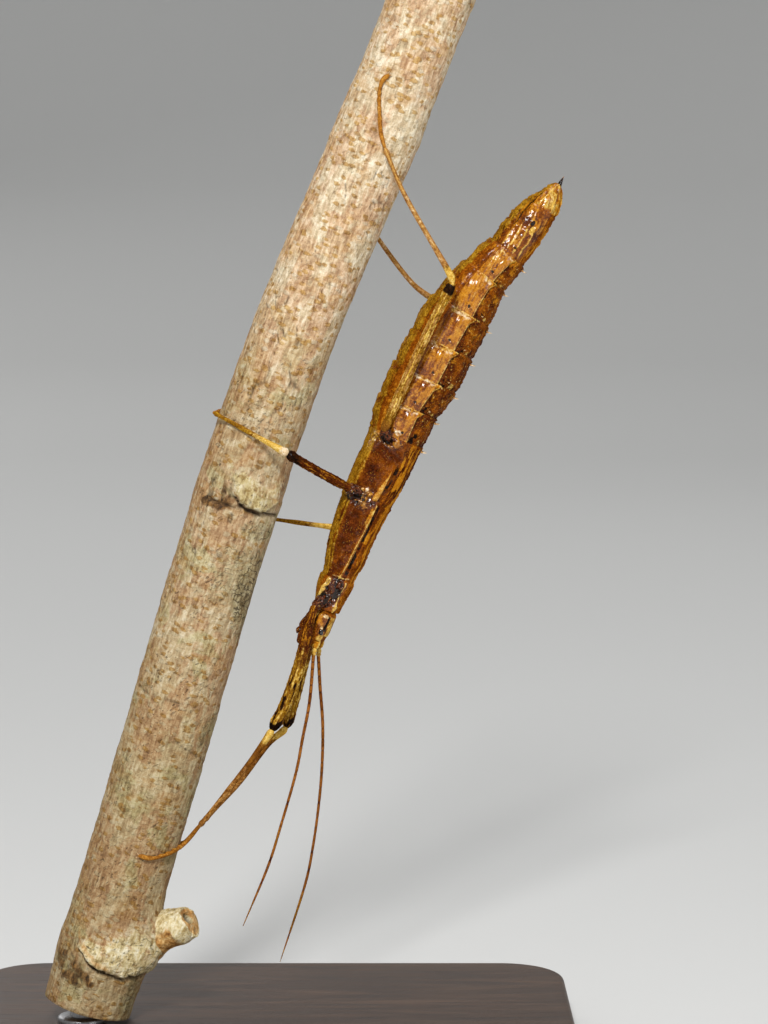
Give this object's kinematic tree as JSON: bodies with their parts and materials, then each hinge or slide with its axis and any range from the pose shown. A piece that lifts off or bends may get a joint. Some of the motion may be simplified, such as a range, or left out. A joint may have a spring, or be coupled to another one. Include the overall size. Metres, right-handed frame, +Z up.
{
  "type": "stick insect",
  "caption": "Stout brown wingless stick insect, head down and gripping a leaning cut length of branch, as a still life-size model on a flat stand.",
  "frame": {"origin": "middle of the underside of the stand's base", "axes": "+Z up, +X the side that the branch leans to and the insect's back faces, the insect's right side faces -Y"},
  "size_m": [0.084, 0.068, 0.1525],
  "materials": {
    "abdomen_cuticle": "glossy amber-brown cuticle, wrinkled, with pale lines between the rings",
    "thorax_cuticle": "rust-brown cuticle with fine pale granules and yellow ridges",
    "dark_cuticle": "dark, wet-looking cuticle",
    "leg_cuticle": "satin yellow-tan cuticle with dark brown mottling",
    "foot_cuticle": "satin orange-tan cuticle",
    "antenna": "satin brown-tan, faintly banded",
    "eye": "dark and glossy",
    "bark": "dry pale bark with lichen, cracks and ochre patches",
    "stand_wood": "smooth satin grey-stained wood",
    "stand_metal": "brushed"
  },
  "bodies": {
    "root": {"prothorax": "thorax_cuticle", "mesothorax": "thorax_cuticle", "metathorax": "thorax_cuticle", "head": "thorax_cuticle", "abdomen_02": "abdomen_cuticle", "abdomen_03": "abdomen_cuticle", "abdomen_04": "abdomen_cuticle", "abdomen_05": "abdomen_cuticle", "abdomen_06": "abdomen_cuticle", "abdomen_07": "abdomen_cuticle", "abdomen_08": "abdomen_cuticle", "abdomen_09": "abdomen_cuticle", "abdomen_10": "abdomen_cuticle", "mouthparts": "dark_cuticle", "eye_right": "eye", "antenna_scape_right": "antenna", "antenna_thread_right": "antenna", "coxa_front_right": "dark_cuticle", "femur_front_right": "leg_cuticle", "tibia_front_right": "leg_cuticle", "tarsus_front_right": "foot_cuticle", "coxa_mid_right": "dark_cuticle", "femur_mid_right": "leg_cuticle", "tibia_mid_right": "leg_cuticle", "tarsus_mid_right": "foot_cuticle", "coxa_hind_right": "dark_cuticle", "femur_hind_right": "leg_cuticle", "tibia_hind_right": "leg_cuticle", "tarsus_hind_right": "foot_cuticle", "eye_left": "eye", "antenna_scape_left": "antenna", "antenna_thread_left": "antenna", "coxa_front_left": "dark_cuticle", "femur_front_left": "leg_cuticle", "tibia_front_left": "leg_cuticle", "tarsus_front_left": "foot_cuticle", "coxa_mid_left": "dark_cuticle", "femur_mid_left": "leg_cuticle", "tibia_mid_left": "leg_cuticle", "tarsus_mid_left": "foot_cuticle", "coxa_hind_left": "dark_cuticle", "femur_hind_left": "leg_cuticle", "tibia_hind_left": "leg_cuticle", "tarsus_hind_left": "foot_cuticle", "perch_branch": "bark", "stand_base": "stand_wood", "stand_rod": "stand_metal"}
  },
  "joints": []
}
